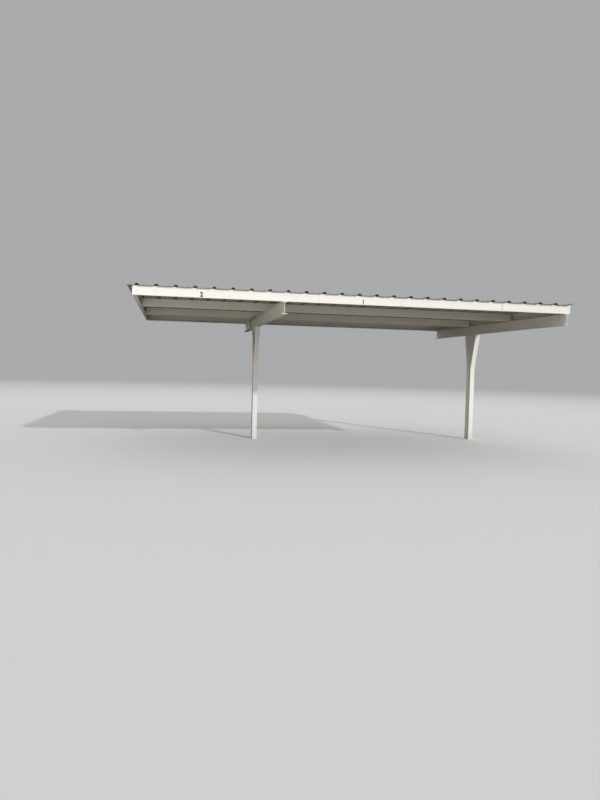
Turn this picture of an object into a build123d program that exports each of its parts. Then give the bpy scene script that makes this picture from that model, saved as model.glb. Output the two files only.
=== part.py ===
from build123d import *
import math
import os

# Two-post cantilever carport, in millimetres. X runs along the front from left to right, Y to the back,
# Z up. The origin is the middle of the left post's foot, on the ground.

# Roof outline, over the outer faces of the fascia, back and side channels
roof_length = 7700.0
roof_depth = 5920.0
left_cantilever = 2460.0  # roof's left end to the left post's centre
front_cantilever = 3804.0  # roof's front face to the posts' centre
right_post_inset = 58.0  # right post's centre to the roof's right end

# Rolled I-section of the posts and the rafters
section_depth = 203.0
section_width = 102.0
flange_thickness = 8.0
web_thickness = 6.2
root_radius = 8.0

# Posts
clear_height = 2490.0  # ground to the rafters' underside
flare_start = 1710.0  # height at which the flanges bend outward
front_flare_angle = 16.0  # degrees
back_flare_angle = 11.5  # degrees
cap_thickness = 10.0
weld_gap = 0.3

# Rafters
rafter_setback = 10.0  # rafter's end behind the outer face of the fascia or back channel

# Cold-formed lipped channel of the fascia, purlins, back and side channels
channel_depth = 150.0
channel_flange = 64.0
channel_lip = 18.0
channel_thickness = 1.9
channel_bend = 3.0  # inner radius of the bends
butt_gap = 0.3
purlin_lines = 4

# Cleat inside each purlin at each rafter
cleat_width = 60.0
cleat_height = 110.0
cleat_foot = 48.0
cleat_thickness = 4.0
cleat_bend = 4.0  # inner radius of the bend

# Ribbed roof sheets
rib_pitch = 304.8
rib_height = 31.75
rib_base = 86.0
rib_top = 34.0
pencil_rib_height = 4.0
pencil_rib_base = 34.0
pencil_rib_top = 18.0
pencil_rib_offset = 50.0  # each side of the middle of a pan
sheet_thickness = 0.6
first_rib = 70.0  # roof's left end to the first rib's centre
left_overhang = 80.0
right_overhang = 14.0  # ends on the slope of the last rib
front_overhang = 50.0
back_overhang = 50.0
ribs_per_sheet = 3
lap_gap = 0.3

# How closely a place is matched when a corner or an edge is picked
nearly = 0.01

# Places that follow from the sizes
roof_left = -left_cantilever
roof_right = roof_left + roof_length
roof_front = -front_cantilever
roof_back = roof_front + roof_depth
purlin_seat = clear_height + section_depth
sheet_level = purlin_seat + channel_depth
purlin_pitch = roof_depth / (purlin_lines - 1)
post_places = {"left": 0.0, "right": roof_right - right_post_inset}

# The flared head, seen from the side
flare_top = clear_height - cap_thickness
front_flare = math.radians(front_flare_angle)
back_flare = math.radians(back_flare_angle)
front_spread = (flare_top - flare_start) * math.tan(front_flare)
back_spread = (flare_top - flare_start) * math.tan(back_flare)
flange_outside = section_depth / 2
flange_inside = flange_outside - flange_thickness

# Ribs whose middle lies on the roof
rib_count = math.floor((roof_length + right_overhang - first_rib) / rib_pitch) + 1


def side_view(points, side=1):
    """Face in the plane across X, from points (Y, Z). side is 1, or -1 for its mirror image in front."""
    return Plane.YZ * make_face(Polyline(*[(side * y, z) for y, z in points], close=True))


def half_post(flare, spread, side):
    """Flange and half web on one side of the split: side is 1 behind it and -1 in front of it."""
    inner_bend = flare_start + flange_thickness * math.tan(flare / 2)
    inner_top = flange_outside + spread - flange_thickness / math.cos(flare)
    flange = [
        (flange_outside, 0),
        (flange_outside, flare_start),
        (flange_outside + spread, flare_top),
        (inner_top, flare_top),
        (flange_inside, inner_bend),
        (flange_inside, 0),
    ]
    half_web = [
        (0, 0),
        (flange_inside, 0),
        (flange_inside, inner_bend),
        (inner_top, flare_top),
        (spread, flare_top),
        (0, flare_start),
    ]
    bent_flange = extrude(side_view(flange, side), section_width / 2, both=True)
    return bent_flange + extrude(side_view(half_web, side), web_thickness / 2, both=True)


def post(x):
    """I-section post whose web is split and whose flanges are bent outward into a flared head."""
    body = half_post(front_flare, front_spread, -1) + half_post(back_flare, back_spread, 1)
    on_web = [e for e in body.edges() if abs(abs(e.center().X) - web_thickness / 2) < nearly]
    upright = [e for e in on_web if e.bounding_box().size.Z > section_depth]
    roots = [e for e in upright if min(abs(v.Y) for v in e.vertices()) > nearly]
    return Pos(x, 0, 0) * fillet(roots, root_radius)


def head_infill(x):
    """Triangular plate between the spread halves of the web, with the weld's gap along both."""
    front_gap = weld_gap / math.cos(front_flare)
    back_gap = weld_gap / math.cos(back_flare)
    rise = (front_gap + back_gap) / (math.tan(front_flare) + math.tan(back_flare))
    tip = (rise * math.tan(back_flare) - back_gap, flare_start + rise)
    triangle = side_view([tip, (back_spread - back_gap, flare_top), (front_gap - front_spread, flare_top)])
    return Pos(x, 0, 0) * extrude(triangle, web_thickness / 2, both=True)


def cap_plate(x):
    """Plate on the head, as wide as the section and as long as the flared head."""
    length = section_depth + front_spread + back_spread
    plate = Box(section_width, length, cap_thickness, align=(Align.CENTER, Align.MIN, Align.MIN))
    return Pos(x, -flange_outside - front_spread, flare_top) * plate


def rafter(x):
    """Level I-section beam over the post, from the fascia to the back channel, with rounded roots."""
    length = roof_depth - 2 * rafter_setback
    flange = Rectangle(section_width, flange_thickness)
    rise = (section_depth - flange_thickness) / 2
    web = Rectangle(web_thickness, section_depth - 2 * flange_thickness)
    profile = web + Pos(0, rise) * flange + Pos(0, -rise) * flange
    roots = [v for v in profile.vertices() if abs(abs(v.X) - web_thickness / 2) < nearly]
    beam = extrude(Plane.XZ * fillet(roots, root_radius), -length)
    return Pos(x, roof_front + rafter_setback, clear_height + section_depth / 2) * beam


def formed(points, thickness, inner_radius):
    """Closed outline of bent plate that lies on the right of its line of points, with round corners."""
    spine = FilletPolyline(*points, radius=inner_radius + thickness)
    return make_face(offset(spine, amount=thickness, side=Side.RIGHT, closed=True))


def channel(length):
    """Lipped channel along +X: web on the plane Y = 0, flanges towards +Y, foot on Z = 0."""
    corners = [
        (channel_flange, channel_lip),
        (channel_flange, 0),
        (0, 0),
        (0, channel_depth),
        (channel_flange, channel_depth),
        (channel_flange, channel_depth - channel_lip),
    ]
    return extrude(Plane.YZ * formed(corners, channel_thickness, channel_bend), length)


def coped(bar, length):
    """Channel whose flanges are cut away at both ends, so that its web laps over the side channels."""
    cope = channel_flange + butt_gap
    block = Box(cope, channel_flange, channel_depth, align=Align.MIN)
    block = Pos(0, channel_thickness + butt_gap, 0) * block
    return bar - block - Pos(length - cope, 0, 0) * block


def cleat(x, y, facing):
    """Bent angle inside a purlin: foot on its lower flange, leg against its web. facing is 1 or -1."""
    corners = [(cleat_foot, 0), (0, 0), (0, cleat_height)]
    angle = extrude(Plane.YZ * formed(corners, cleat_thickness, cleat_bend), cleat_width / 2, both=True)
    if facing < 0:
        angle = mirror(angle, about=Plane.XZ)
    return Pos(x, y + facing * channel_thickness, purlin_seat + channel_thickness) * angle


def rib(x, base, top, height):
    """Points of one rib on the sheet's underside, from left to right."""
    return [(x - base / 2, 0), (x - top / 2, height), (x + top / 2, height), (x + base / 2, 0)]


def over_rib(x):
    """Points of an edge rib that laps over the next sheet's first rib, and ends on that sheet's pan."""
    lift = sheet_thickness + lap_gap
    run = (rib_base - rib_top) / 2
    slant = math.hypot(run, rib_height)
    foot = rib_base / 2 + lift * slant / rib_height
    crown = rib_top / 2 + lift * (slant - run) / rib_height
    free_foot = foot - lift * run / rib_height
    return [(x - foot, 0), (x - crown, rib_height + lift), (x + crown, rib_height + lift), (x + free_foot, lift)]


def cut_to(points, end):
    """The line's points up to end, where the line is cut off or runs on to it level."""
    kept = [point for point in points if point[0] < end]
    x, z = kept[-1]
    if len(kept) < len(points):
        next_x, next_z = points[len(kept)]
        z += (next_z - z) * (end - x) / (next_x - x)
    return kept + [(end, z)]


def sheet_line(first, last):
    """Underside points of one sheet with the ribs first to last. Its last rib laps over the next sheet."""
    rib_x = [roof_left + first_rib + i * rib_pitch for i in range(rib_count)]
    points = []
    if first == 0:
        points.append((roof_left - left_overhang, 0))
    for i in range(first, last + 1):
        laps = i == last and last < rib_count - 1
        points += over_rib(rib_x[i]) if laps else rib(rib_x[i], rib_base, rib_top, rib_height)
        if i < last:
            middle = rib_x[i] + rib_pitch / 2
            for place in (middle - pencil_rib_offset, middle + pencil_rib_offset):
                points += rib(place, pencil_rib_base, pencil_rib_top, pencil_rib_height)
    if last == rib_count - 1:
        points = cut_to(points, roof_right + right_overhang)
    return points


def roof_sheet(first, last):
    """One ribbed sheet from the front overhang to the back overhang."""
    length = front_overhang + roof_depth + back_overhang
    line = Polyline(*sheet_line(first, last))
    outline = offset(line, amount=sheet_thickness, side=Side.LEFT, kind=Kind.INTERSECTION, closed=True)
    sheet = extrude(Plane.XZ * make_face(outline), -length)
    return Pos(0, roof_front - front_overhang, sheet_level) * sheet


parts = {}

for side, x in post_places.items():
    parts[f"{side}_post"] = post(x)
    parts[f"{side}_head_infill"] = head_infill(x)
    parts[f"{side}_cap_plate"] = cap_plate(x)
    parts[f"{side}_rafter"] = rafter(x)

long_channel = coped(channel(roof_length), roof_length)
parts["front_fascia"] = Pos(roof_left, roof_front, purlin_seat) * long_channel
parts["back_channel"] = Pos(roof_left, roof_back, purlin_seat) * mirror(long_channel, about=Plane.XZ)

inner_inset = channel_flange + butt_gap
inner_channel = channel(roof_length - 2 * inner_inset)
for line, name in enumerate(("second_purlin", "third_purlin"), start=1):
    parts[name] = Pos(roof_left + inner_inset, roof_front + line * purlin_pitch, purlin_seat) * inner_channel

side_inset = channel_thickness + butt_gap
side_channel = channel(roof_depth - 2 * side_inset)
side_left = Pos(roof_left, roof_back - side_inset, purlin_seat) * Rot(0, 0, -90) * side_channel
parts["left_side_channel"] = side_left
parts["right_side_channel"] = mirror(side_left, about=Plane.YZ.offset(roof_left + roof_length / 2))

last_cleat = roof_right - inner_inset - butt_gap - cleat_width / 2
for side, x in post_places.items():
    for line in range(purlin_lines):
        facing = -1 if line == purlin_lines - 1 else 1
        parts[f"{side}_cleat_{line + 1}"] = cleat(min(x, last_cleat), roof_front + line * purlin_pitch, facing)

# The sheets are laid from the right, so the leftmost one is a cut strip
cut_bays = (rib_count - 1) % ribs_per_sheet or ribs_per_sheet
for number, last in enumerate(range(cut_bays, rib_count, ribs_per_sheet), start=1):
    parts[f"roof_sheet_{number}"] = roof_sheet(max(last - ribs_per_sheet, 0), last)

os.makedirs("parts", exist_ok=True)
for name, solid in parts.items():
    export_step(solid, f"parts/{name}.step")
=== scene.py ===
"""Dresses the two-post carport: finishes, welds, screws, conduit, stall numbers, light and camera."""

import logging
import math
from collections.abc import Iterable, Iterator, Sequence
from dataclasses import dataclass
from enum import Enum
from random import Random

import bmesh
import bpy
from mathutils import Matrix, Vector


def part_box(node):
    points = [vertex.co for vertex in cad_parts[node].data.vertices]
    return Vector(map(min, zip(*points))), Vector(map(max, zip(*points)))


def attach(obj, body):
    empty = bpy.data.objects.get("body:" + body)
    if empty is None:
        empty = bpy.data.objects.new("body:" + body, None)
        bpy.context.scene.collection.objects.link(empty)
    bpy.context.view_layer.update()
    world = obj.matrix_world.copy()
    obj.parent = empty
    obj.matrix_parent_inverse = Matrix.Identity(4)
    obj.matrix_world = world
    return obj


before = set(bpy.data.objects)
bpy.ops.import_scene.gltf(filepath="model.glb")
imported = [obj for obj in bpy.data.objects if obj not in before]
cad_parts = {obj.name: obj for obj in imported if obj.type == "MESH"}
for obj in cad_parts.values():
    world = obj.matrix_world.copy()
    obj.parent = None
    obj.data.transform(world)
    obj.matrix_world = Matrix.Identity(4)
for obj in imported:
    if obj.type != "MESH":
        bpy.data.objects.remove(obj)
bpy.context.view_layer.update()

LOG = logging.getLogger("carport")
BODY = "root"
SIDES = ("left", "right")
CHANNELS = ("front_fascia", "second_purlin", "third_purlin", "back_channel")

Socket = bpy.types.NodeSocket
Material = bpy.types.Material
Shape = bmesh.types.BMesh
Pair = tuple[float, float]
Triple = tuple[float, float, float]
Colour = tuple[float, float, float]
Source = Socket | float | tuple[float, ...]
Seam = tuple[Sequence[float], Sequence[float], float]


class Run(Enum):
    """The way a member runs. Its value draws a pattern out along that way."""

    UPRIGHT = (1.0, 1.0, 0.02)
    ACROSS = (0.02, 1.0, 1.0)
    DEEP = (1.0, 0.02, 1.0)


class Slot(Enum):
    """The names of some of the record's material slots, handed to the welds, which do not use them."""

    SECTION = "painted_section"
    CHANNEL = "formed_channel"
    SCREW = "screw"
    NUMERAL = "numeral"


@dataclass(frozen=True)
class Patches:
    """Soft patches: cells to the metre, detail, the noise's range, and what that range becomes."""

    scale: Source
    detail: float
    low: float
    high: float
    start: float = 0.0
    end: float = 1.0


class Wiring:
    """Adds nodes to one node tree. Each input is given as a value or as another node's socket."""

    def __init__(self, tree: bpy.types.NodeTree) -> None:
        """Keeps the tree that the nodes go into."""
        self.tree = tree

    def node(
        self, kind: str, inputs: dict[str | int, Source] | None = None, **settings: object
    ) -> bpy.types.Node:
        """Adds one node.

        Args:
            kind: the node's type after "ShaderNode".
            inputs: values or sockets by the input's name or number.
            settings: the node's own properties.

        Returns:
            The new node.
        """
        made = self.tree.nodes.new(f"ShaderNode{kind}")
        for name, value in settings.items():
            setattr(made, name, value)
        for key, value in (inputs or {}).items():
            if isinstance(value, Socket):
                self.tree.links.new(value, made.inputs[key])
            else:
                made.inputs[key].default_value = value
        return made

    def join(self, results: dict[str, Socket], inputs: bpy.types.NodeInputs) -> None:
        """Links each result to the input of its name."""
        for label, socket in results.items():
            self.tree.links.new(socket, inputs[label])

    def effect(self, group: bpy.types.NodeTree, inputs: dict[str, Source]) -> bpy.types.NodeOutputs:
        """Places a shared effect, with its inputs by name, and returns its outputs."""
        return self.node("Group", inputs, node_tree=group).outputs

    def noise(self, vector: Source, scale: Source, detail: float) -> Socket:
        """Returns soft noise from 0 to 1, with that many cells to the metre."""
        return self.node("TexNoise", {"Vector": vector, "Scale": scale, "Detail": detail}).outputs[0]

    def span(
        self, value: Source, low: Source, high: Source, start: Source = 0.0, end: Source = 1.0
    ) -> Socket:
        """Turns a value smoothly from one range into another, and holds it there.

        Args:
            value: what is turned.
            low: the value that gives start.
            high: the value that gives end.
            start: the result at low.
            end: the result at high.

        Returns:
            The result.
        """
        inputs = {"Value": value, "From Min": low, "From Max": high, "To Min": start, "To Max": end}
        return self.node("MapRange", inputs, interpolation_type="SMOOTHSTEP").outputs[0]

    def patches(self, vector: Source, kind: Patches) -> Socket:
        """Returns soft patches of that kind, read at the place that the vector gives."""
        grain = self.noise(vector, kind.scale, kind.detail)
        return self.span(grain, kind.low, kind.high, kind.start, kind.end)

    def math(self, operation: str, *values: Source) -> Socket:
        """Returns the result of one Math node."""
        return self.node("Math", dict(enumerate(values)), operation=operation).outputs[0]

    def apart(self, first: Source, second: Source) -> Socket:
        """Returns how far two values are apart."""
        return self.math("ABSOLUTE", self.math("SUBTRACT", first, second))

    def product(self, first: Source, *others: Source) -> Socket:
        """Multiplies values.

        Args:
            first: the first value.
            others: the values that it is multiplied by, in turn.

        Returns:
            All the values multiplied.
        """
        result = first
        for other in others:
            result = self.math("MULTIPLY", result, other)
        return result

    def stretched(self, vector: Source, factors: Source) -> Socket:
        """Returns the vector with each axis multiplied by its own factor."""
        return self.node("VectorMath", {0: vector, 1: factors}, operation="MULTIPLY").outputs[0]

    def axes(self, vector: Source) -> Sequence[Socket]:
        """Returns the vector's X, Y and Z."""
        return self.node("SeparateXYZ", {0: vector}).outputs

    def blend(self, factor: Source, first: Source, second: Source) -> Socket:
        """Returns the first colour with the second laid over it by the factor."""
        first, second = (v if isinstance(v, Socket) else (*v[:3], 1.0) for v in (first, second))
        return self.node("Mix", {0: factor, 6: first, 7: second}, data_type="RGBA").outputs[2]

    def shaded(self, colour: Source, share: Source) -> Socket:
        """Returns the colour darkened to that share of itself."""
        return self.node("VectorMath", {0: colour, 3: share}, operation="SCALE").outputs[0]

    def place(self) -> Socket:
        """Returns the place on the piece, in metres."""
        return self.node("TexCoord").outputs["Object"]

    def facing(self) -> Socket:
        """Returns the way the surface faces."""
        return self.node("TexCoord").outputs["Normal"]


@dataclass
class Effects:
    """The shader node groups that several finishes share, each built once."""

    wave_scale: float = 4.5
    wave_detail: float = 2.0
    peel_scale: float = 240.0
    peel_detail: float = 1.0
    line_detail: float = 4.0
    line_range: Pair = (0.32, 0.68)
    dust_patches: Patches = Patches(1.4, 6.0, 0.36, 0.72)
    dust_mottle: Patches = Patches(23.0, 4.0, 0.25, 0.8, 0.45, 1.0)
    dust_lies: tuple[float, float, float, float] = (-0.2, 0.9, 0.3, 1.0)
    rain_runs: Patches = Patches(1.0, 4.0, 0.52, 0.76)
    rain_breaks: Patches = Patches(2.6, 2.0, 0.38, 0.62)
    splash_height: float = 0.42
    splash_spots: Patches = Patches(46.0, 5.0, 0.38, 0.66, 0.15, 1.0)
    speck_detail: float = 3.0
    speck_level: float = 0.76
    speck_gain: float = -0.32
    speck_edge: float = 0.03

    def __post_init__(self) -> None:
        """Builds every group."""
        self.film = self._film()
        self.lines = self._lines()
        self.grime = self._grime()
        self.specks = self._specks()

    @staticmethod
    def _group(
        name: str, inputs: dict[str, str], outputs: dict[str, str]
    ) -> tuple[Wiring, bpy.types.NodeOutputs, bpy.types.NodeInputs]:
        """Starts a node group.

        Args:
            name: the group's name.
            inputs: each input's name and its kind of socket.
            outputs: each output's name and its kind of socket.

        Returns:
            The group's wiring, the sockets that bring its inputs, and those that take its outputs.
        """
        tree = bpy.data.node_groups.new(name, "ShaderNodeTree")
        for way, sockets in (("INPUT", inputs), ("OUTPUT", outputs)):
            for label, kind in sockets.items():
                tree.interface.new_socket(label, in_out=way, socket_type=f"NodeSocket{kind}")
        entry = tree.nodes.new("NodeGroupInput")
        leave = tree.nodes.new("NodeGroupOutput")
        return Wiring(tree), entry.outputs, leave.inputs

    def _film(self) -> bpy.types.NodeTree:
        """Makes the group for a sprayed film: a fine peel over slow waves in the steel.

        Returns:
            The group.
        """
        kinds = {"Place": "Vector", "Peel": "Float", "Wave": "Float"}
        wiring, entry, leave = self._group("paint film", kinds, {"Normal": "Vector"})
        slow = wiring.noise(entry["Place"], self.wave_scale, self.wave_detail)
        waves = wiring.node("Bump", {"Height": slow, "Distance": entry["Wave"]})
        fine = wiring.noise(entry["Place"], self.peel_scale, self.peel_detail)
        over = {"Height": fine, "Distance": entry["Peel"], "Normal": waves.outputs[0]}
        peel = wiring.node("Bump", over)
        wiring.join({"Normal": peel.outputs[0]}, leave)
        return wiring.tree

    def _lines(self) -> bpy.types.NodeTree:
        """Makes the group for mill lines, which are drawn out along the member.

        Returns:
            The group.
        """
        kinds = {"Place": "Vector", "Along": "Vector", "Scale": "Float"}
        wiring, entry, leave = self._group("mill lines", kinds, {"Mask": "Float"})
        drawn = wiring.stretched(entry["Place"], entry["Along"])
        kind = Patches(entry["Scale"], self.line_detail, *self.line_range)
        wiring.join({"Mask": wiring.patches(drawn, kind)}, leave)
        return wiring.tree

    def _grime(self) -> bpy.types.NodeTree:
        """Makes the group for dust on top, rain streaks on the sides and splashes near the ground.

        Returns:
            The group.
        """
        kinds = {"Place": "Vector", "Facing": "Vector", "Streak": "Vector"}
        kinds |= {"Dust": "Float", "Rain": "Float", "Splash": "Float"}
        wiring, entry, leave = self._group("grime", kinds, {"Mask": "Float", "Splashed": "Float"})
        place = entry["Place"]
        upward = wiring.axes(entry["Facing"])[2]
        spread = wiring.patches(place, self.dust_patches)
        mottle = wiring.patches(place, self.dust_mottle)
        dust = wiring.product(spread, mottle, wiring.span(upward, *self.dust_lies), entry["Dust"])
        runs = wiring.patches(wiring.stretched(place, entry["Streak"]), self.rain_runs)
        rain = wiring.product(runs, wiring.patches(place, self.rain_breaks), entry["Rain"])
        low = wiring.span(wiring.axes(place)[2], self.splash_height, 0.0)
        splash = wiring.product(low, low, wiring.patches(place, self.splash_spots), entry["Splash"])
        mask = wiring.math("MINIMUM", wiring.math("ADD", dust, rain), 1.0)
        wiring.join({"Mask": mask, "Splashed": splash}, leave)
        return wiring.tree

    def _specks(self) -> bpy.types.NodeTree:
        """Makes the group for chips and rust specks, which are more where the share is higher.

        Returns:
            The group.
        """
        kinds = {"Place": "Vector", "Scale": "Float", "Share": "Float"}
        wiring, entry, leave = self._group("specks", kinds, {"Mask": "Float"})
        grain = wiring.noise(entry["Place"], entry["Scale"], self.speck_detail)
        edge = wiring.math("MULTIPLY_ADD", entry["Share"], self.speck_gain, self.speck_level)
        mask = wiring.span(wiring.math("SUBTRACT", grain, edge), 0.0, self.speck_edge)
        wiring.join({"Mask": mask}, leave)
        return wiring.tree


class Finish:
    """What all finishes share: an empty material with one Principled shader."""

    @staticmethod
    def blank(name: str, **constants: float) -> tuple[Material, Wiring, bpy.types.Node]:
        """Starts a material.

        Args:
            name: the material's name.
            constants: Principled inputs that are the same all over, spaces written as underscores.

        Returns:
            The material, its wiring and its Principled shader.
        """
        material = bpy.data.materials.new(name)
        material.use_nodes = True
        shader = material.node_tree.nodes["Principled BSDF"]
        for label, value in constants.items():
            shader.inputs[label.replace("_", " ")].default_value = value
        return material, Wiring(material.node_tree), shader


@dataclass(frozen=True)
class PaintFinish(Finish):
    """Sprayed white enamel over a steel member, with mill lines, dust, rain streaks and chips, and
    painted shade on faces that look down.
    """

    name: str
    run: Run
    colour: Colour = (0.840, 0.828, 0.795)
    dust_colour: Colour = (0.44, 0.39, 0.31)
    bare_colour: Colour = (0.23, 0.12, 0.065)
    roughness: float = 0.66
    gloss: float = 0.10
    peel: float = 0.00005
    wave: float = 0.0006
    mill: float = 0.05
    mill_scale: float = 70.0
    dust: float = 0.22
    full_dust: float = 0.6
    dust_roughness: float = 0.82
    rain: float = 0.16
    rain_scale: Triple = (17.0, 17.0, 1.1)
    splash: float = 0.0
    splash_shade: float = 0.72
    chips: float = 0.0
    chip_scale: float = 75.0
    chip_height: float = 1.1
    chips_above: float = 0.12
    chip_cover: float = 2.0
    # Share of painted shade on faces that look down, and the facing range over which it comes in.
    painted_underside_shade: float = 0.0
    under_facing: Pair = (-0.9, -0.6)

    def material(self, effects: Effects) -> Material:
        """Makes the finish.

        Args:
            effects: the shared effects.

        Returns:
            The finish as a material.
        """
        material, wiring, shader = self.blank(self.name, Specular_IOR_Level=self.gloss)
        place = wiring.place()
        facing = wiring.facing()
        height = wiring.axes(place)[2]
        lines = {"Place": place, "Along": self.run.value, "Scale": self.mill_scale}
        dirt = {"Place": place, "Facing": facing, "Streak": self.rain_scale}
        dirt |= {"Dust": self.dust, "Rain": self.rain, "Splash": self.splash}
        grime = wiring.effect(effects.grime, dirt)
        near_ground = wiring.span(height, self.chip_height, 0.0, self.chips_above, 1.0)
        worn = wiring.product(near_ground, self.chips)
        specks = {"Place": place, "Scale": self.chip_scale, "Share": worn}
        bare = wiring.effect(effects.specks, specks)["Mask"]
        cover = wiring.math("MULTIPLY", bare, min(1.0, self.chips * self.chip_cover))
        darker = tuple(c * (1.0 - self.mill) for c in self.colour)
        splashed = tuple(c * self.splash_shade for c in self.dust_colour)
        tone = wiring.blend(wiring.effect(effects.lines, lines)["Mask"], self.colour, darker)
        tone = wiring.blend(grime["Mask"], tone, self.dust_colour)
        tone = wiring.blend(grime["Splashed"], tone, splashed)
        tone = wiring.blend(cover, tone, self.bare_colour)
        # Painted shade: faces that look down are darkened by this share.
        below = wiring.span(wiring.axes(facing)[2], *self.under_facing, 1.0 - self.painted_underside_shade, 1.0)
        matt = wiring.math("ADD", grime["Mask"], grime["Splashed"])
        rough = wiring.span(matt, 0.0, self.full_dust, self.roughness, self.dust_roughness)
        film = wiring.effect(effects.film, {"Place": place, "Peel": self.peel, "Wave": self.wave})
        shade = wiring.shaded(tone, below)
        results = {"Base Color": shade, "Roughness": rough, "Normal": film["Normal"]}
        wiring.join(results, shader.inputs)
        return material


@dataclass(frozen=True)
class SheetFinish(Finish):
    """Bare aluminium-zinc coated sheet: dull grey with a fine spangle, dirt where water stands, and
    painted shade on its underside.
    """

    name: str
    ribs_from: float
    rib_pitch: float
    rib_base: float
    first_lap: float
    lap_pitch: float
    screw_offset: float
    screw_rows: tuple[float, ...]
    pan_level: float
    open_edge: float
    colour: Colour = (0.50, 0.505, 0.50)
    spangle_colour: Colour = (0.40, 0.405, 0.405)
    dust_colour: Colour = (0.30, 0.27, 0.22)
    metallic: float = 0.12
    roughness: float = 0.66
    gloss: float = 0.12
    spangle_scale: float = 110.0
    peel: float = 0.00003
    wave: float = 0.0009
    mill_scale: float = 55.0
    tone_step: float = 0.06
    turn_over: float = 0.05
    # Painted shade: the underside's tone as a share of the top's, and the mill lines' share there.
    under_painted_shade: float = 0.74
    under_lines: float = 0.94
    dust: float = 0.42
    rain: float = 0.24
    rain_scale: Triple = (26.0, 0.8, 26.0)
    mottle: Patches = Patches(9.0, 5.0, 0.3, 0.7, 0.35, 1.0)
    foot_dirt: float = 0.34
    foot_width: float = 0.016
    halo_dirt: float = 0.42
    halo_reach: Pair = (0.008, 0.055)
    # Painted shade in the ribs' hollows, and the rise above the pan over which it comes in.
    hollow_painted_shade: float = 0.50
    hollow_rise: float = 0.016
    # Painted shade along the open edge's overhang, and how far in it reaches.
    edge_painted_shade: float = 0.45
    edge_reach: Pair = (0.07, 0.09)
    most_dirt: float = 0.8
    full_dirt: float = 0.6
    dirt_roughness: float = 0.8
    dirt_below: float = 0.35

    def _standing_dirt(self, wiring: Wiring, x: Source, y: Source) -> Socket:
        """Adds the dirt at the ribs' feet and round the screws.

        Args:
            wiring: the material's wiring.
            x: the place across.
            y: the place from front to back.

        Returns:
            The dirt's mask.
        """
        half = self.rib_pitch / 2
        offset = wiring.math("SUBTRACT", x, self.ribs_from)
        to_rib = wiring.math("ABSOLUTE", wiring.math("WRAP", offset, half, -half))
        to_foot = wiring.apart(to_rib, self.rib_base / 2)
        foot = wiring.span(to_foot, 0.0, self.foot_width, self.foot_dirt, 0.0)
        nearest = wiring.apart(y, self.screw_rows[0])
        for row in self.screw_rows[1:]:
            nearest = wiring.math("MINIMUM", nearest, wiring.apart(y, row))
        aside = wiring.math("SUBTRACT", to_rib, self.screw_offset)
        squares = wiring.math("MULTIPLY_ADD", aside, aside, wiring.math("MULTIPLY", nearest, nearest))
        halo = wiring.span(wiring.math("SQRT", squares), *self.halo_reach, self.halo_dirt, 0.0)
        return wiring.math("MAXIMUM", foot, halo)

    def _below(self, wiring: Wiring, place: Source, tone: Source, lines: Source) -> Socket:
        """Turns the sheet's tone into that of its underside, with painted shade.

        Args:
            wiring: the material's wiring.
            place: the place on the sheet.
            tone: the tone on top.
            lines: the mill lines' mask.

        Returns:
            The underside's tone, darkened all over by painted shade, and more in the ribs' hollows and
            along the open edge.
        """
        x, _, z = wiring.axes(place)
        # Painted shade darkens the whole underside, with the mill lines a little darker still.
        lined = wiring.span(lines, 0.0, 1.0, self.under_painted_shade, self.under_painted_shade * self.under_lines)
        top = self.pan_level + self.hollow_rise
        # Painted shade: the underside darkens up into the ribs' hollows.
        hollow = wiring.span(z, self.pan_level, top, 1.0, 1.0 - self.hollow_painted_shade)
        start, end = (self.open_edge + reach for reach in self.edge_reach)
        # Painted shade on the underside of the overhang at the open edge.
        edge = wiring.span(x, start, end, 1.0 - self.edge_painted_shade, 1.0)
        return wiring.shaded(wiring.shaded(tone, lined), wiring.product(hollow, edge))

    def material(self, effects: Effects) -> Material:
        """Makes the finish.

        Args:
            effects: the shared effects.

        Returns:
            The finish as a material.
        """
        material, wiring, shader = self.blank(self.name, Specular_IOR_Level=self.gloss)
        place = wiring.place()
        facing = wiring.facing()
        x, y, _ = wiring.axes(place)
        outside = wiring.span(wiring.axes(facing)[2], -self.turn_over, self.turn_over)
        grains = {"Vector": place, "Scale": self.spangle_scale}
        cells = wiring.node("TexVoronoi", grains).outputs["Color"]
        spangled = wiring.blend(cells, self.colour, self.spangle_colour)
        laps = wiring.math("DIVIDE", wiring.math("SUBTRACT", x, self.first_lap), self.lap_pitch)
        sheet = wiring.math("FLOOR", laps)
        chance = wiring.node("TexWhiteNoise", {"W": sheet}, noise_dimensions="1D").outputs["Value"]
        tone = wiring.shaded(spangled, wiring.span(chance, 0.0, 1.0, 1.0 - self.tone_step, 1.0))
        lines = {"Place": place, "Along": Run.DEEP.value, "Scale": self.mill_scale}
        # The underside's tone, with its painted shade.
        painted_underside_shade = self._below(wiring, place, tone, wiring.effect(effects.lines, lines)["Mask"])
        dirt = {"Place": place, "Facing": facing, "Streak": self.rain_scale}
        dirt |= {"Dust": self.dust, "Rain": self.rain, "Splash": 0.0}
        grime = wiring.effect(effects.grime, dirt)["Mask"]
        mottle = wiring.patches(place, self.mottle)
        standing = wiring.product(self._standing_dirt(wiring, x, y), mottle)
        soiled = wiring.math("MINIMUM", wiring.math("ADD", grime, standing), self.most_dirt)
        top = wiring.blend(soiled, tone, self.dust_colour)
        faint = wiring.math("MULTIPLY", grime, self.dirt_below)
        below = wiring.blend(faint, painted_underside_shade, self.dust_colour)
        film = wiring.effect(effects.film, {"Place": place, "Peel": self.peel, "Wave": self.wave})
        results = {
            "Base Color": wiring.blend(outside, below, top),
            "Metallic": wiring.span(soiled, 0.0, self.full_dirt, self.metallic, 0.0),
            "Roughness": wiring.span(soiled, 0.0, self.full_dirt, self.roughness, self.dirt_roughness),
            "Normal": film["Normal"],
        }
        wiring.join(results, shader.inputs)
        return material


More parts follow.
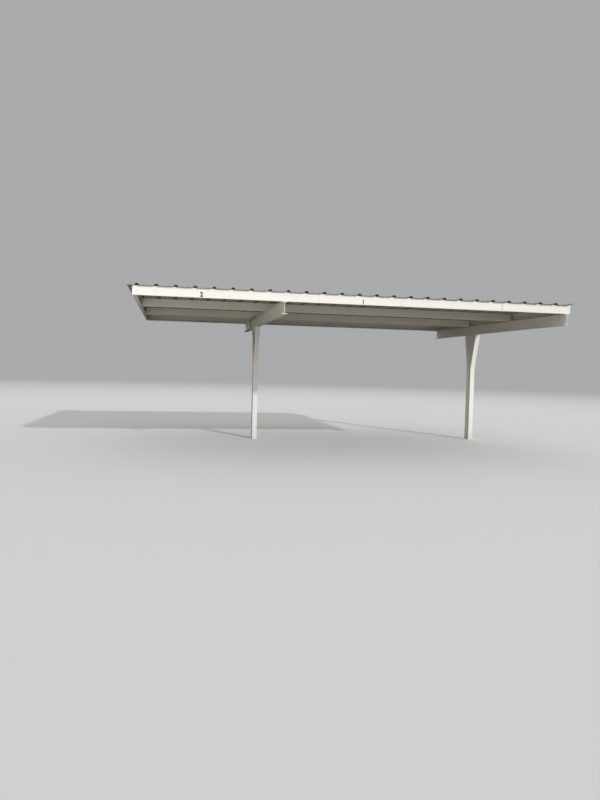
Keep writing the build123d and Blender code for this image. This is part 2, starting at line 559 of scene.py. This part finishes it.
@dataclass(frozen=True)
class SmallFinish(Finish):
    """Finish of a small piece: one colour broken by fine grain, more or less metallic."""

    name: str
    colour: Colour
    other_colour: Colour
    roughness: float
    metallic: float = 0.0
    grain: float = 160.0
    grain_detail: float = 4.0
    grain_range: Pair = (0.3, 0.7)
    depth: float = 0.0001
    rough_range: Pair = (0.25, 0.75)
    rough_step: float = 0.2
    rust: float = 0.0
    rust_scale: float = 110.0
    rust_cover: float = 3.0
    rust_colour: Colour = (0.25, 0.13, 0.07)

    def material(self, effects: Effects) -> Material:
        """Makes the finish.

        Args:
            effects: the shared effects.

        Returns:
            The finish as a material.
        """
        material, wiring, shader = self.blank(self.name, Metallic=self.metallic)
        place = wiring.place()
        grain = wiring.noise(place, self.grain, self.grain_detail)
        tone = wiring.blend(wiring.span(grain, *self.grain_range), self.colour, self.other_colour)
        specks = {"Place": place, "Scale": self.rust_scale, "Share": self.rust}
        rusty = wiring.effect(effects.specks, specks)["Mask"]
        cover = wiring.math("MULTIPLY", rusty, min(1.0, self.rust * self.rust_cover))
        roughest = min(1.0, self.roughness + self.rough_step)
        bump = wiring.node("Bump", {"Height": grain, "Distance": self.depth})
        results = {
            "Base Color": wiring.blend(cover, tone, self.rust_colour),
            "Roughness": wiring.span(grain, *self.rough_range, self.roughness, roughest),
            "Normal": bump.outputs[0],
        }
        wiring.join(results, shader.inputs)
        return material


def zinc(name: str, colour: Colour, other_colour: Colour, roughness: float) -> SmallFinish:
    """Returns a zinc-plated finish with a little rust."""
    return SmallFinish(name, colour, other_colour, roughness, metallic=0.85, rust=0.05)


def dress(nodes: Iterable[str], material: Material) -> None:
    """Gives CAD nodes a material in every slot that they have.

    Args:
        nodes: the CAD nodes' names.
        material: the material that they get.
    """
    for name in nodes:
        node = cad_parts[name]
        if not node.material_slots:
            node.data.materials.append(material)
        for slot in node.material_slots:
            slot.material = material
        LOG.info("%s is finished as %s", name, material.name)


def placed(name: str, data: bpy.types.ID) -> bpy.types.Object:
    """Puts a new object into the scene.

    Args:
        name: the object's name.
        data: its mesh, curve, lamp or camera.

    Returns:
        The object.
    """
    made = bpy.data.objects.new(name, data)
    bpy.context.scene.collection.objects.link(made)
    return made


def settled(name: str, bm: Shape) -> bpy.types.Mesh:
    """Turns a bmesh into a mesh.

    Args:
        name: the mesh's name.
        bm: the shape. It is freed.

    Returns:
        The mesh.
    """
    mesh = bpy.data.meshes.new(name)
    bm.to_mesh(mesh)
    bm.free()
    return mesh


def made_piece(
    name: str,
    bm: Shape,
    materials: Sequence[Material],
    smooth: bool = False,
) -> None:
    """Turns a finished bmesh into a piece that rides on the frame.

    Args:
        name: the piece's name.
        bm: its shape, in place in the row frame. It is freed.
        materials: its materials, by the faces' material numbers.
        smooth: whether its faces are shaded smooth.
    """
    bmesh.ops.recalc_face_normals(bm, faces=bm.faces)
    mesh = settled(name, bm)
    for material in materials:
        mesh.materials.append(material)
    for polygon in mesh.polygons:
        polygon.use_smooth = smooth
    piece = placed(name, mesh)
    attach(piece, BODY)
    LOG.info("%s has %d faces", name, len(mesh.polygons))


def turned(degrees: float, axis: str) -> Matrix:
    """Returns the turn by that many degrees round an axis."""
    return Matrix.Rotation(math.radians(degrees), 4, axis)


def drum(
    bm: Shape, sides: int, radii: Pair, depth: float, matrix: Matrix
) -> list[bmesh.types.BMVert]:
    """Adds a closed drum along Z.

    Args:
        bm: the mesh that it goes into.
        sides: how many sides it has.
        radii: its radius at the lower end and at the upper end.
        depth: how long it is.
        matrix: where its middle goes and how it is turned.

    Returns:
        Its vertices.
    """
    made = bmesh.ops.create_cone(
        bm,
        cap_ends=True,
        segments=sides,
        radius1=radii[0],
        radius2=radii[1],
        depth=depth,
        matrix=matrix,
    )
    return made["verts"]


def drawn_shape(curve: bpy.types.Curve, merge: float = 0.00002) -> Shape:
    """Turns a curve or a text into a bmesh, and removes the curve.

    Args:
        curve: the curve or text.
        merge: how near points are merged.

    Returns:
        Its shape.
    """
    carrier = placed("carrier", curve)
    bpy.context.view_layer.update()
    mesh = bpy.data.meshes.new_from_object(carrier)
    bpy.data.objects.remove(carrier)
    bpy.data.curves.remove(curve)
    bm = bmesh.new()
    bm.from_mesh(mesh)
    bpy.data.meshes.remove(mesh)
    bmesh.ops.remove_doubles(bm, verts=bm.verts, dist=merge)
    return bm


@dataclass
class BeadMaker:
    """Lays painted weld beads: rippled half-round runs along straight seams."""

    paint: Material
    ripple_pitch: float = 0.006
    ripple_depth: float = 0.16
    sway: float = 0.18
    end_size: float = 0.55
    sides: int = 6
    seed: int = 11

    def __post_init__(self) -> None:
        """Starts the beads' own chance."""
        self.chance = Random(self.seed)

    def weld(self, name: str, seams: Iterable[Seam], slot: Slot) -> None:
        """Makes one piece of the beads along some seams.

        Args:
            name: the piece's name.
            seams: each bead's start and end, and its radius at the crest of a ripple.
            slot: the record's material slot for the piece; not used.
        """
        bm = bmesh.new()
        for start, end, radius in seams:
            self._lay(bm, Vector(start), Vector(end), radius)
        made_piece(name, bm, [self.paint], smooth=True)

    def _lay(self, bm: Shape, start: Vector, end: Vector, radius: float) -> None:
        """Adds one bead.

        Args:
            bm: the mesh that it goes into.
            start: where its middle line starts.
            end: where its middle line ends.
            radius: its radius at the crest of a ripple.
        """
        along = end - start
        half = along.length / 2
        cuts = max(2, round(along.length / self.ripple_pitch))
        bead = bmesh.new()
        drum(bead, self.sides, (radius, radius), along.length, Matrix())
        long_edges = [e for e in bead.edges if abs(e.verts[0].co.z - e.verts[1].co.z) > half]
        bmesh.ops.subdivide_edges(bead, edges=long_edges, cuts=cuts, use_grid_fill=True)
        step = along.length / (cuts + 1)
        sizes = [1.0 - self.ripple_depth * self.chance.random() for _ in range(cuts + 2)]
        sways = [radius * self.sway * (self.chance.random() - 0.5) for _ in range(cuts + 2)]
        for vert in bead.verts:
            ring = min(cuts + 1, max(0, round((vert.co.z + half) / step)))
            size = sizes[ring] * (self.end_size if ring in (0, cuts + 1) else 1.0)
            vert.co.x = vert.co.x * size + sways[ring]
            vert.co.y = vert.co.y * size + sways[ring]
        turn = along.to_track_quat("Z", "Y").to_matrix().to_4x4()
        bmesh.ops.transform(bead, matrix=Matrix.Translation((start + end) / 2) @ turn, verts=bead.verts)
        mesh = settled("bead", bead)
        bm.from_mesh(mesh)
        bpy.data.meshes.remove(mesh)


@dataclass
class PostFrame:
    """The two flared posts with their infills, cap plates and rafters, and the welds on their heads."""

    beads: BeadMaker
    flange_thickness: float = 0.0083
    edge_stop: float = 0.004
    seam_radius: float = 0.0042
    plate_radius: float = 0.0036

    def build(self, effects: Effects) -> None:
        """Dresses the posts and rafters and lays their welds.

        Args:
            effects: the shared effects.
        """
        upright = PaintFinish(
            "post enamel",
            Run.UPRIGHT,
            colour=(0.870, 0.858, 0.825),
            mill=0.035,
            dust=0.06,
            rain=0.10,
            splash=0.16,
            chips=0.25,
        )
        # The rafters get painted shade on their undersides.
        deep = PaintFinish("rafter enamel", Run.DEEP, dust=0.30, rain=0.14, chips=0.05, painted_underside_shade=0.20)
        standing = [f"{side}_{part}" for side in SIDES for part in ("post", "head_infill", "cap_plate")]
        dress(standing, upright.material(effects))
        dress([f"{side}_rafter" for side in SIDES], deep.material(effects))
        for side in SIDES:
            self.beads.weld(f"{side}_head_welds", self._head_seams(side), Slot.SECTION)

    def _head_seams(self, side: str) -> Iterator[Seam]:
        """Finds the seams round one post's head: infill, cap plate and rafter.

        Args:
            side: which post, left or right.

        Returns:
            Each bead's start, end and radius.
        """
        infill_low, infill_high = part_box(f"{side}_head_infill")
        low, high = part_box(f"{side}_cap_plate")
        inner_front, inner_back = low.y + self.flange_thickness, high.y - self.flange_thickness
        for x in (infill_low.x, infill_high.x):
            for y in (infill_low.y, infill_high.y):
                yield (x, 0.0, infill_low.z), (x, y, infill_high.z), self.seam_radius
            yield (x, inner_front, low.z), (x, inner_back, low.z), self.plate_radius
        left, right = low.x + self.edge_stop, high.x - self.edge_stop
        for outer, inner in ((low.y, inner_front), (high.y, inner_back)):
            for y, z in ((outer, low.z), (inner, low.z), (outer, high.z)):
                yield (left, y, z), (right, y, z), self.plate_radius
        front, back = low.y + self.edge_stop, high.y - self.edge_stop
        for x in (low.x, high.x):
            yield (x, front, high.z), (x, back, high.z), self.plate_radius


@dataclass
class PurlinFrame:
    """The fascia, purlins, back and side channels with their cleats, and the welds that hold them."""

    beads: BeadMaker
    flange: float = 0.064
    wall: float = 0.0019
    seat_stop: float = 0.006
    seam_stop: float = 0.006
    cleat_wall: float = 0.004
    seat_radius: float = 0.0032
    cleat_radius: float = 0.0028
    seam_radius: float = 0.0014
    stitch: float = 0.06
    stitches: int = 11

    def build(self, effects: Effects) -> None:
        """Dresses the channels and cleats and lays their welds.

        Args:
            effects: the shared effects.
        """
        rolled = {"mill": 0.045, "mill_scale": 48.0, "wave": 0.0011}
        across = PaintFinish("channel enamel across", Run.ACROSS, **rolled)
        # The side channels get painted shade on their undersides.
        deep = PaintFinish("channel enamel deep", Run.DEEP, painted_underside_shade=0.24, **rolled)
        upright = PaintFinish("cleat enamel", Run.UPRIGHT, mill=0.07)
        cleats = [f"{side}_cleat_{n}" for side in SIDES for n, _ in enumerate(CHANNELS, start=1)]
        dress(CHANNELS, across.material(effects))
        dress([f"{side}_side_channel" for side in SIDES], deep.material(effects))
        dress(cleats, upright.material(effects))
        for side in SIDES:
            self.beads.weld(f"{side}_purlin_welds", self._seats(side), Slot.CHANNEL)
            self.beads.weld(f"{side}_cleat_welds", self._cleats(side), Slot.CHANNEL)
        self.beads.weld("side_channel_welds", self._stitches(), Slot.CHANNEL)
        self.beads.weld("corner_seams", self._corners(), Slot.CHANNEL)

    def _seats(self, side: str) -> Iterator[Seam]:
        """Finds the seams where each channel sits on one rafter, at its web and at its lip.

        Args:
            side: which rafter, left or right.

        Returns:
            Each bead's start, end and radius.
        """
        low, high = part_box(f"{side}_rafter")
        for line in CHANNELS:
            first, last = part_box(line)
            inside = (first.x + self.flange + self.seat_stop, last.x - self.flange - self.seat_stop)
            left = max(low.x + self.seat_stop, inside[0])
            right = min(high.x - self.seat_stop, inside[1])
            for y in (max(first.y, low.y), min(last.y, high.y)):
                yield (left, y, high.z), (right, y, high.z), self.seat_radius

    def _cleats(self, side: str) -> Iterator[Seam]:
        """Finds the seams down both edges of each cleat's leg and along its foot.

        Args:
            side: which rafter's cleats, left or right.

        Returns:
            Each bead's start, end and radius.
        """
        for number, line in enumerate(CHANNELS, start=1):
            low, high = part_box(f"{side}_cleat_{number}")
            web, toe = (high.y, low.y) if line == "back_channel" else (low.y, high.y)
            rise = low.z + self.cleat_wall * 2
            for x in (low.x, high.x):
                yield (x, web, rise), (x, web, high.z), self.cleat_radius
                yield (x, web, low.z), (x, toe, low.z), self.cleat_radius

    def _stitches(self) -> Iterator[Seam]:
        """Finds the short seams that hold the right side channel along the right rafter.

        Returns:
            Each bead's start, end and radius.
        """
        low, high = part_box("right_rafter")
        channel_low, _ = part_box("right_side_channel")
        pitch = (high.y - low.y) / self.stitches
        for number in range(self.stitches):
            middle = low.y + (number + 0.5) * pitch
            for x in (high.x, channel_low.x):
                start = Vector((x, middle - self.stitch / 2, high.z))
                yield start, start + Vector((0.0, self.stitch, 0.0)), self.seat_radius

    def _corners(self) -> Iterator[Seam]:
        """Finds the upright seams where the fascia and the back channel lap over the side channels.

        Returns:
            Each bead's start, end and radius.
        """
        for line in ("front_fascia", "back_channel"):
            low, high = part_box(line)
            y = low.y + self.wall if line == "front_fascia" else high.y - self.wall
            for x in (low.x, high.x):
                yield (x, y, low.z + self.seam_stop), (x, y, high.z - self.seam_stop), self.seam_radius


@dataclass
class RoofDeck:
    """The ribbed sheets, their sealed screws in the pans and the small screws in the side laps."""

    sheet_count: int = 9
    rib_pitch: float = 0.3048
    first_rib: float = -2.39
    rib_base: float = 0.086
    rib_count: int = 26
    first_lap: int = 1
    ribs_per_sheet: int = 3
    pan_top: float = 2.8436
    screw_offset: float = 0.060
    flange_middle: float = 0.032
    seal_radius: float = 0.0080
    seal_top: float = 0.0020
    rim_share: float = 0.92
    washer_share: float = 0.86
    washer_top: float = 0.0030
    washer_sides: int = 12
    head_radius: float = 0.0048
    head_top: float = 0.0078
    head_bevel: float = 0.0007
    top_margin: float = 0.0002
    head_sides: int = 6
    shank_radius: float = 0.0024
    point_radius: float = 0.0004
    point: float = 0.022
    most_turn: float = 60.0
    most_tip: float = 2.5
    lap_size: float = 0.72
    lap_point: float = 0.008
    lap_place: Pair = (0.0309, 0.01655)
    lap_lean: float = 50.7
    lap_step: float = 0.5
    seed: int = 5

    def build(self, effects: Effects) -> None:
        """Dresses the sheets and drives their screws.

        Args:
            effects: the shared effects.
        """
        rows = self._rows()
        finish = SheetFinish(
            "bare ribbed sheet",
            ribs_from=self.first_rib,
            rib_pitch=self.rib_pitch,
            rib_base=self.rib_base,
            first_lap=self.first_rib + self.first_lap * self.rib_pitch,
            lap_pitch=self.ribs_per_sheet * self.rib_pitch,
            screw_offset=self.screw_offset,
            screw_rows=tuple(rows),
            pan_level=self.pan_top,
            open_edge=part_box("roof_sheet_1")[0].x,
        )
        dress([f"roof_sheet_{n}" for n in range(1, self.sheet_count + 1)], finish.material(effects))
        head = zinc("zinc screw head", (0.62, 0.62, 0.60), (0.48, 0.48, 0.46), 0.34)
        seal = SmallFinish("rubber seal", (0.035, 0.035, 0.038), (0.06, 0.06, 0.06), 0.75)
        metals = [head.material(effects), seal.material(effects)]
        chance = Random(self.seed)
        screw = self._screw(1.0, self.point)
        for number, row in enumerate(rows, start=1):
            places = [Matrix.Translation((x, row, self.pan_top)) for x in self._pan_places()]
            made_piece(f"roof_screws_{number}", self._driven(screw, places, chance), metals)
        small = self._screw(self.lap_size, self.lap_point)
        made_piece("lap_screws", self._driven(small, self._lap_places(), chance), metals)
        for used in (screw, small):
            bpy.data.meshes.remove(used)

    def _rows(self) -> list[float]:
        """Finds where the rows of screws go.

        Returns:
            The rows' places from front to back, over the middle of each channel's flange.
        """
        rows = []
        for line in CHANNELS:
            low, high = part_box(line)
            at_back = line == "back_channel"
            rows.append(high.y - self.flange_middle if at_back else low.y + self.flange_middle)
        return rows

    def _pan_places(self) -> list[float]:
        """Finds where the screws go across, one each side of every rib.

        Returns:
            The places that have a pan.
        """
        _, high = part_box(f"roof_sheet_{self.sheet_count}")
        ribs = [self.first_rib + n * self.rib_pitch for n in range(self.rib_count)]
        places = [rib + way * self.screw_offset for rib in ribs for way in (-1, 1)]
        return [x for x in places if x < high.x - self.seal_radius]

    def _lap_places(self) -> list[Matrix]:
        """Finds where the lap screws go, on the sloping side of each edge rib that laps over the next.

        Returns:
            The places, with the slope's lean.
        """
        low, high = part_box("roof_sheet_2")
        lean = turned(self.lap_lean, "Y")
        across, up = self.lap_place
        places = []
        for rib in range(self.first_lap, self.rib_count - 1, self.ribs_per_sheet):
            x = self.first_rib + rib * self.rib_pitch + across
            y = low.y + self.lap_step / 2
            while y < high.y - self.lap_step / 4:
                places.append(Matrix.Translation((x, y, self.pan_top + up)) @ lean)
                y += self.lap_step
        return places

    def _screw(self, size: float, point: float) -> bpy.types.Mesh:
        """Builds one hex washer-head screw with its seal, point down, its seal's foot at the origin.

        Args:
            size: the head's size, where 1 is the roof screw's.
            point: how far the point reaches below the seal.

        Returns:
            The screw's mesh.
        """
        seal, rim = self.seal_radius * size, self.seal_radius * self.rim_share * size
        hexagon, shank = self.head_radius * size, self.shank_radius * size
        seal_top, washer_top, top = self.seal_top * size, self.washer_top * size, self.head_top * size
        rings = (
            (self.washer_sides, (seal, rim), 0.0, seal_top, 1),
            (self.washer_sides, (rim, rim * self.washer_share), seal_top, washer_top, 0),
            (self.head_sides, (hexagon, hexagon), washer_top, top, 0),
            (self.head_sides, (self.point_radius, shank), -point, 0.0, 0),
        )
        bm = bmesh.new()
        for sides, radii, low, high, number in rings:
            middle = Matrix.Translation((0.0, 0.0, (low + high) / 2))
            verts = drum(bm, sides, radii, high - low, middle)
            for face in {f for v in verts for f in v.link_faces}:
                face.material_index = number
        level = top - self.top_margin * size
        edges = [e for e in bm.edges if min(v.co.z for v in e.verts) > level]
        bmesh.ops.bevel(
            bm,
            geom=edges,
            offset=self.head_bevel * size,
            affect="EDGES",
            segments=1,
            profile=0.5,
            material=-1,
        )
        return settled("screw", bm)

    def _driven(self, screw: bpy.types.Mesh, places: Iterable[Matrix], chance: Random) -> Shape:
        """Copies a screw to every place, each turned and tipped a little.

        Args:
            screw: the screw's mesh.
            places: where the copies go.
            chance: what turns and tips them.

        Returns:
            The screws, in place.
        """
        bm = bmesh.new()
        for place in places:
            before = len(bm.verts)
            bm.from_mesh(screw)
            bm.verts.ensure_lookup_table()
            turn = turned(chance.uniform(0.0, self.most_turn), "Z")
            tip = turned(chance.uniform(-self.most_tip, self.most_tip), "X")
            bmesh.ops.transform(bm, matrix=place @ tip @ turn, verts=bm.verts[before:])
        return bm


@dataclass
class PostConduit:
    """The thin black conduit from the third purlin round the left rafter and down the left post."""

    radius: float = 0.008
    round_steps: int = 3
    bend_steps: int = 10
    web_stand: float = 0.0095
    route: tuple[Triple, ...] = (
        (0.012, 0.148, 2.738),
        (0.013, 0.125, 2.738),
        (0.001, 0.080, 2.738),
        (-0.038, 0.044, 2.726),
        (-0.078, 0.030, 2.700),
        (-0.109, 0.030, 2.662),
        (-0.122, 0.040, 2.614),
        (-0.114, 0.065, 2.556),
        (-0.094, 0.112, 2.490),
        (-0.066, 0.142, 2.420),
        (-0.040, 0.164, 2.350),
    )
    down: tuple[Pair, ...] = (
        (0.168, 2.270),
        (0.156, 2.190),
        (0.127, 2.040),
        (0.090, 1.850),
        (0.066, 1.700),
        (0.060, 1.500),
        (0.060, 0.800),
        (0.060, 0.0),
    )
    grommet_radii: Pair = (0.013, 0.0104)
    grommet_depth: float = 0.006
    grommet_sides: int = 16
    clips: tuple[Pair, ...] = ((0.1535, 2.175), (0.060, 1.250), (0.060, 0.450))
    clip_size: Triple = (0.0012, 0.040, 0.014)
    clip_sides: int = 14
    rivet_inset: float = 0.006
    rivet_radii: Pair = (0.0032, 0.0024)
    rivet_depth: float = 0.0024
    rivet_sides: int = 10

    def build(self, effects: Effects) -> None:
        """Lays the conduit and its clips.

        Args:
            effects: the shared effects.
        """
        black = SmallFinish(
            "black conduit", (0.020, 0.020, 0.021), (0.034, 0.034, 0.034), roughness=0.55, grain=240.0
        ).material(effects)
        plated = zinc("zinc clip", (0.60, 0.60, 0.58), (0.46, 0.46, 0.44), 0.38).material(effects)
        low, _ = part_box("left_head_infill")
        line = low.x - self.web_stand
        made_piece("left_conduit", self._tube(line), [black], smooth=True)
        made_piece("left_conduit_clips", self._saddles(line), [plated])

    def _tube(self, line: float) -> Shape:
        """Draws the conduit, with the grommet at its upper end.

        Args:
            line: its middle across where it runs down the post's web.

        Returns:
            The shape, in place.
        """
        curve = bpy.data.curves.new("conduit", "CURVE")
        curve.dimensions = "3D"
        curve.bevel_depth = self.radius
        curve.bevel_resolution = self.round_steps
        curve.use_fill_caps = True
        places = [*self.route, *((line, back, height) for back, height in self.down)]
        spline = curve.splines.new("NURBS")
        spline.points.add(len(places) - 1)
        for point, place in zip(spline.points, places):
            point.co = (*place, 1.0)
        spline.order_u = 4
        spline.use_endpoint_u = True
        spline.resolution_u = self.bend_steps
        bm = drawn_shape(curve)
        face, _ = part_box("third_purlin")
        across, _, height = self.route[0]
        stand = Matrix.Translation((across, face.y, height)) @ turned(90.0, "X")
        drum(bm, self.grommet_sides, self.grommet_radii, self.grommet_depth, stand)
        return bm

    def _saddles(self, line: float) -> Shape:
        """Builds the riveted clips that hold the conduit to the post's web.

        Args:
            line: the conduit's middle across.

        Returns:
            The clips, in place.
        """
        bm = bmesh.new()
        thick, wide, high = self.clip_size
        ring = self.radius + thick
        for back, height in self.clips:
            drum(bm, self.clip_sides, (ring, ring), high, Matrix.Translation((line, back, height)))
            strap = Matrix.Translation((line + self.web_stand - thick / 2, back, height))
            size = Matrix.Diagonal((thick, wide, high, 1.0))
            bmesh.ops.create_cube(bm, size=1.0, matrix=strap @ size)
            for way in (-1, 1):
                aside = way * (wide / 2 - self.rivet_inset)
                middle = Matrix.Translation((line + self.web_stand - thick, back + aside, height))
                rivet = middle @ turned(90.0, "Y")
                drum(bm, self.rivet_sides, self.rivet_radii, self.rivet_depth, rivet)
        return bm


@dataclass(frozen=True)
class StallNumber:
    """One plain number on the fascia: its text, middle, brush and width, and whether it has faded."""

    text: str
    x: float
    z: float
    brush: float = 0.0015
    width: float = 1.0
    faded: bool = False


@dataclass
class StallNumbers:
    """The plain numbers of the parking spaces, painted on the fascia."""

    height: float = 0.082
    film: float = 0.0003
    drawn_size: float = 0.1
    curve_steps: int = 6
    numbers: tuple[StallNumber, ...] = (
        StallNumber("2", -1.370, 2.747, brush=0.0060, width=0.84),
        StallNumber("1", 1.345, 2.740),
        StallNumber("1", 3.905, 2.765, faded=True),
    )

    def build(self, effects: Effects) -> None:
        """Paints every number.

        Args:
            effects: the shared effects.
        """
        strong = SmallFinish(
            "black number paint", (0.022, 0.022, 0.024), (0.05, 0.05, 0.05), roughness=0.5, grain=90.0
        ).material(effects)
        weak = SmallFinish(
            "faded number paint", (0.46, 0.45, 0.43), (0.60, 0.59, 0.56), roughness=0.6, grain=90.0
        ).material(effects)
        low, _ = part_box("front_fascia")
        for place, number in enumerate(self.numbers, start=1):
            bm = self._digit(number, low.y)
            made_piece(f"stall_number_{place}", bm, [weak if number.faded else strong])

    def _digit(self, number: StallNumber, face: float) -> Shape:
        """Draws one number as a thin film on the fascia's face.

        Args:
            number: what it says and where.
            face: the fascia's face along Y.

        Returns:
            The film, in place.
        """
        curve = bpy.data.curves.new("number", "FONT")
        curve.body = number.text
        curve.size = self.drawn_size
        curve.offset = number.brush
        curve.resolution_u = self.curve_steps
        bm = drawn_shape(curve)
        xs, ys = [v.co.x for v in bm.verts], [v.co.y for v in bm.verts]
        middle = Vector(((min(xs) + max(xs)) / 2, (min(ys) + max(ys)) / 2, 0.0))
        size = self.height / (max(ys) - min(ys))
        made = bmesh.ops.extrude_face_region(bm, geom=bm.faces[:])
        raised = [v for v in made["geom"] if isinstance(v, bmesh.types.BMVert)]
        bmesh.ops.translate(bm, vec=Vector((0.0, 0.0, self.film / size)), verts=raised)
        fitted = Matrix.Diagonal((size * number.width, size, size, 1.0)) @ Matrix.Translation(-middle)
        stand = Matrix.Translation((number.x, face, number.z)) @ turned(90.0, "X")
        bmesh.ops.transform(bm, matrix=stand @ fitted, verts=bm.verts)
        return bm


@dataclass
class Studio:
    """The pale floor, the plain backdrop, the soft light and the camera."""

    floor_radius: float = 90.0
    floor_sides: int = 96
    floor_seen: Colour = (0.90, 0.895, 0.88)
    floor_fade: Pair = (14.0, 60.0)
    backdrop: Colour = (0.40, 0.404, 0.41)
    bounce: Colour = (0.950, 0.885, 0.745)
    behind: Pair = (-0.99, 3.27)
    behind_reach: Pair = (8.45, 5.35)
    behind_edge: float = 1.1
    aside: Pair = (6.77, -8.69)
    aside_reach: Pair = (9.0, 9.0)
    aside_core: float = 0.3
    aside_share: float = 0.03
    far_behind: Pair = (4.95, 9.95)
    overhead: Colour = (0.394, 0.402, 0.418)
    skyline: Colour = (1.417, 1.400, 1.351)
    skyline_band: Pair = (0.2, 0.48)
    skyline_tilt: Pair = (0.280, -0.320)
    key_power: float = 1.58
    key_azimuth: float = 25.0
    key_height: float = 22.2
    key_softness: float = 1.5
    sensor: float = 36.0
    lens: float = 29.242
    view_end: float = 500.0
    eye: Triple = (-1.8143, -14.4878, 1.5761)
    yaw: float = 11.152
    pitch: float = -2.708
    roll: float = 1.394

    def build(self) -> None:
        """Sets up everything round the carport."""
        bpy.context.scene.view_settings.view_transform = "Standard"
        self._floor()
        self._world()
        self._key()
        self._camera()

    def _floor(self) -> None:
        """Lays the floor, whose colour runs into the backdrop's far out."""
        bm = bmesh.new()
        bmesh.ops.create_circle(bm, cap_ends=True, segments=self.floor_sides, radius=self.floor_radius)
        mesh = settled("floor", bm)
        material = bpy.data.materials.new("pale floor")
        material.use_nodes = True
        nodes = material.node_tree.nodes
        nodes.remove(nodes["Principled BSDF"])
        wiring = Wiring(material.node_tree)
        seen = self._background_rays(wiring)
        colour = wiring.blend(seen, self._bounced(wiring), self.floor_seen)
        near = wiring.node("BsdfDiffuse", {"Color": colour})
        far = wiring.node("Emission", {"Color": (*self.backdrop, 1.0), "Strength": 1.0})
        out = wiring.span(self._away(wiring, (0.0, 0.0), (1.0, 1.0)), *self.floor_fade)
        share = wiring.product(out, seen)
        mixed = wiring.node("MixShader", {0: share, 1: near.outputs[0], 2: far.outputs[0]})
        wiring.join({"Surface": mixed.outputs[0]}, nodes["Material Output"].inputs)
        mesh.materials.append(material)
        floor = placed("floor", mesh)

    @staticmethod
    def _away(wiring: Wiring, middle: Pair, reach: Pair) -> Socket:
        """Measures how far a place on the floor is from a middle.

        Args:
            wiring: the floor's wiring.
            middle: the middle's X and Y.
            reach: how far along X and along Y counts as 1.

        Returns:
            The distance.
        """
        moved = wiring.node("VectorMath", {0: wiring.place(), 1: (*middle, 0.0)}, operation="SUBTRACT")
        shares = wiring.stretched(moved.outputs[0], (1.0 / reach[0], 1.0 / reach[1], 0.0))
        return wiring.node("VectorMath", {0: shares}, operation="LENGTH").outputs["Value"]

    def _bounced(self, wiring: Wiring) -> Socket:
        """Colours the light that the floor throws back.

        Args:
            wiring: the floor's wiring.

        Returns:
            The colour, dim behind the posts and far out to the right in front.
        """
        to_back = self._away(wiring, self.behind, self.behind_reach)
        behind = wiring.span(to_back, 1.0, self.behind_edge)
        to_side = self._away(wiring, self.aside, self.aside_reach)
        aside = wiring.span(to_side, self.aside_core, 1.0, self.aside_share, 1.0)
        far = wiring.span(wiring.axes(wiring.place())[1], *self.far_behind, 1.0, 0.0)
        return wiring.shaded((*self.bounce,), wiring.product(behind, aside, far))

    @staticmethod
    def _background_rays(wiring: Wiring) -> Socket:
        """Tells the rays that see the floor or backdrop from those that carry light.

        Args:
            wiring: the floor's or the backdrop's wiring.

        Returns:
            1 for rays that see it, straight or in gloss, and 0 for light.
        """
        rays = wiring.node("LightPath").outputs
        shiny = wiring.math("MAXIMUM", rays["Is Glossy Ray"], rays["Is Transmission Ray"])
        return wiring.math("MAXIMUM", rays["Is Camera Ray"], shiny)

    def _world(self) -> None:
        """Sets the soft light from all round, stronger low down, and the plain backdrop."""
        world = bpy.data.worlds.new("studio")
        world.use_nodes = True
        bpy.context.scene.world = world
        wiring = Wiring(world.node_tree)
        across, deep, upward = wiring.axes(wiring.node("TexCoord").outputs["Generated"])
        lean = wiring.math("MULTIPLY_ADD", across, self.skyline_tilt[0], 1.0)
        lean = wiring.math("MULTIPLY_ADD", deep, self.skyline_tilt[1], lean)
        low = wiring.shaded((*self.skyline,), lean)
        above = wiring.span(wiring.math("ABSOLUTE", upward), *self.skyline_band)
        light = wiring.blend(above, low, self.overhead)
        colour = wiring.blend(self._background_rays(wiring), light, self.backdrop)
        wiring.join({"Color": colour}, world.node_tree.nodes["Background"].inputs)

    def _key(self) -> None:
        """Adds the one soft lamp, far away in front, to the right and low."""
        lamp = bpy.data.lights.new("key", "SUN")
        lamp.energy = self.key_power
        lamp.angle = math.radians(self.key_softness)
        turn, rise = math.radians(self.key_azimuth), math.radians(self.key_height)
        level = math.cos(rise)
        to_lamp = Vector((math.sin(turn) * level, -math.cos(turn) * level, math.sin(rise)))
        placed("key", lamp).rotation_euler = to_lamp.to_track_quat("Z", "Y").to_euler()

    def _camera(self) -> None:
        """Stands the camera where the photograph was taken."""
        data = bpy.data.cameras.new("camera")
        data.sensor_width = self.sensor
        data.lens = self.lens
        data.clip_end = self.view_end
        camera = placed("camera", data)
        turns = turned(-self.yaw, "Z") @ turned(90.0 + self.pitch, "X") @ turned(self.roll, "Z")
        camera.matrix_world = Matrix.Translation(self.eye) @ turns
        bpy.context.scene.camera = camera


def main() -> None:
    """Builds the studio and every sub-assembly."""
    logging.basicConfig(level=logging.INFO, format="%(name)s: %(message)s")
    Studio().build()
    effects = Effects()
    bead = SmallFinish(
        "painted weld bead",
        (0.80, 0.785, 0.74),
        (0.70, 0.67, 0.60),
        roughness=0.42,
        grain=260.0,
        depth=0.0003,
        rust=0.10,
    )
    beads = BeadMaker(bead.material(effects))
    for part in (PostFrame(beads), PurlinFrame(beads), RoofDeck(), PostConduit(), StallNumbers()):
        LOG.info("building %s", type(part).__name__)
        part.build(effects)


if __name__ == "__main__":
    main()
